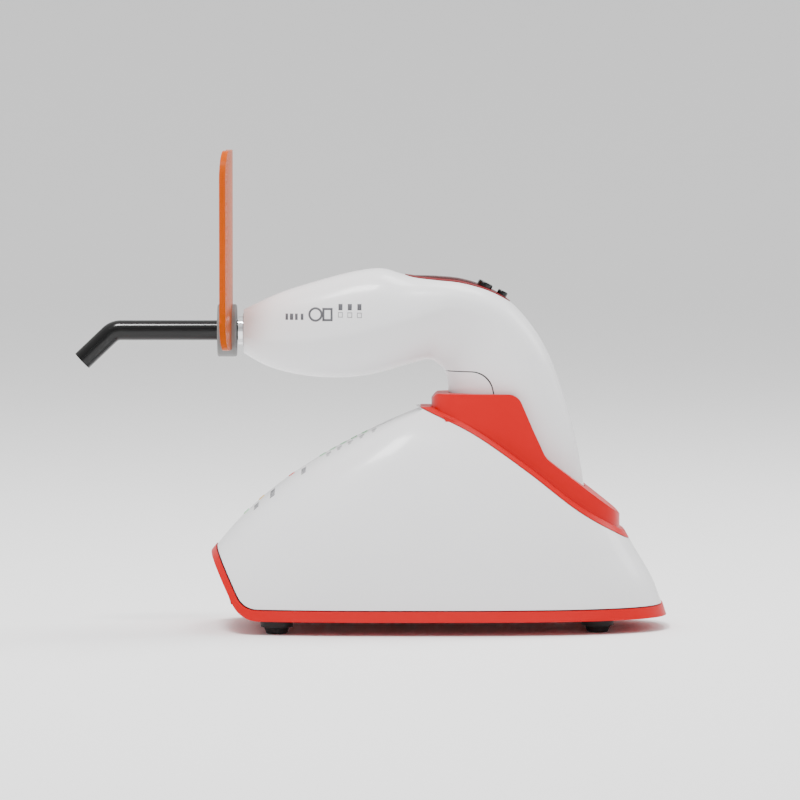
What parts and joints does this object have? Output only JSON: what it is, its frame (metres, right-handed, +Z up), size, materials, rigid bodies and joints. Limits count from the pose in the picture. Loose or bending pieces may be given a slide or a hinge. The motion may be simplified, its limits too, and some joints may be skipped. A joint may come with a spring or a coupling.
{
  "type": "dental curing light",
  "caption": "Cordless gun-type light-curing unit standing in its charging base, with a bent light guide that turns, an eye shield, a display with buttons and a contact charger.",
  "frame": {"origin": "middle of the whole object's footprint, on the surface that it stands on", "axes": "+Z up, -X the way the light guide points, +X the rear, +Y and -Y the sides; Y = 0 is the plane of symmetry"},
  "size_m": [0.2477, 0.0934, 0.2001],
  "materials": {
    "base_shell": "gloss",
    "base_tray": "gloss",
    "cradle_collar": "gloss",
    "housing": "gloss",
    "black_rubber": "matte",
    "grey_rubber": "matte",
    "black_plastic": "satin",
    "bright_metal": "polished",
    "steel": "brushed",
    "aluminium": "satin",
    "contact_brass": "polished",
    "board": "satin",
    "clear": "polished",
    "fibre": "polished",
    "shield_orange": "transparent gloss",
    "display_red": "gloss",
    "light_lens": "gloss",
    "cell_wrap": "satin"
  },
  "bodies": {
    "base": {"base_shell": "base_shell", "base_tray": "base_tray", "cradle_collar": "cradle_collar", "foot_front_left": "black_rubber", "foot_front_right": "black_rubber", "foot_rear_left": "black_rubber", "foot_rear_right": "black_rubber", "dc_socket": "black_plastic", "dc_socket_pin": "steel", "ballast_plate": "steel", "ballast_screws": "steel", "charger_board": "board", "charger_coil": "black_plastic", "charger_capacitors": "aluminium", "tray_screws": "steel", "ready_light": "light_lens", "charge_light": "light_lens", "error_light": "light_lens", "level_lights": "light_lens", "meter_window": "clear", "meter_sensor": "black_plastic", "meter_board": "board", "status_board": "board", "contact_block": "black_plastic", "contact_spring_left": "steel", "contact_spring_right": "steel"},
    "contact_pin_left": {"contact_pin_left": "contact_brass"},
    "contact_pin_right": {"contact_pin_right": "contact_brass"},
    "handpiece": {"housing_left": "housing", "housing_right": "housing", "battery_cover": "housing", "display_lens": "display_red", "housing_studs": "steel", "nose_ring": "bright_metal", "guide_socket": "aluminium", "led_lens": "clear", "led_emitter": "light_lens", "led_board": "board", "heat_sink": "aluminium", "control_board": "board", "control_chips": "black_plastic", "buzzer": "black_plastic", "display_module": "black_plastic", "button_board": "board", "power_switch": "black_plastic", "mode_switch": "black_plastic", "battery_cell": "cell_wrap", "battery_plate_contact": "steel", "battery_spring_contact": "steel", "charge_pads": "contact_brass", "cover_screw": "steel", "cover_nut": "steel"},
    "power_button": {"power_button": "black_plastic"},
    "mode_button": {"mode_button": "black_plastic"},
    "guide_o_ring": {"guide_o_ring": "black_rubber"},
    "light_guide": {"guide_ferrule": "bright_metal", "guide_jacket": "black_plastic", "guide_core": "fibre"},
    "eye_shield": {"shield_plate": "shield_orange", "shield_grommet": "grey_rubber"}
  },
  "joints": [
    {"name": "handpiece_lift", "type": "slide", "parent": "base", "child": "handpiece", "axis": [-0.1219, 0, 0.9925], "range_m": [0, 0.11]},
    {"name": "guide_pull", "type": "slide", "parent": "handpiece", "child": "guide_o_ring", "axis": [-1, 0, 0], "range_m": [0, 0.02]},
    {"name": "guide_spin", "type": "hinge", "parent": "guide_o_ring", "child": "light_guide", "pos_m": [-0.046, 0, 0.1246], "axis": [1, 0, 0], "continuous": true},
    {"name": "shield_spin", "type": "hinge", "parent": "light_guide", "child": "eye_shield", "pos_m": [-0.0598, 0, 0.1246], "axis": [1, 0, 0], "continuous": true},
    {"name": "power_press", "type": "slide", "parent": "handpiece", "child": "power_button", "axis": [-0.454, 0, -0.891], "range_m": [0, 0.0005], "stiffness_N_per_m": 2000, "springref_m": -0.0003},
    {"name": "mode_press", "type": "slide", "parent": "handpiece", "child": "mode_button", "axis": [-0.454, 0, -0.891], "range_m": [0, 0.0005], "stiffness_N_per_m": 2000, "springref_m": -0.0003},
    {"name": "contact_travel_left", "type": "slide", "parent": "base", "child": "contact_pin_left", "axis": [0, 0, 1], "range_m": [-0.0012, 0], "stiffness_N_per_m": 400, "springref_m": 0.001, "deforming": ["contact_spring_left"]},
    {"name": "contact_travel_right", "type": "slide", "parent": "base", "child": "contact_pin_right", "axis": [0, 0, 1], "range_m": [-0.0012, 0], "stiffness_N_per_m": 400, "springref_m": 0.001, "deforming": ["contact_spring_right"]}
  ]
}
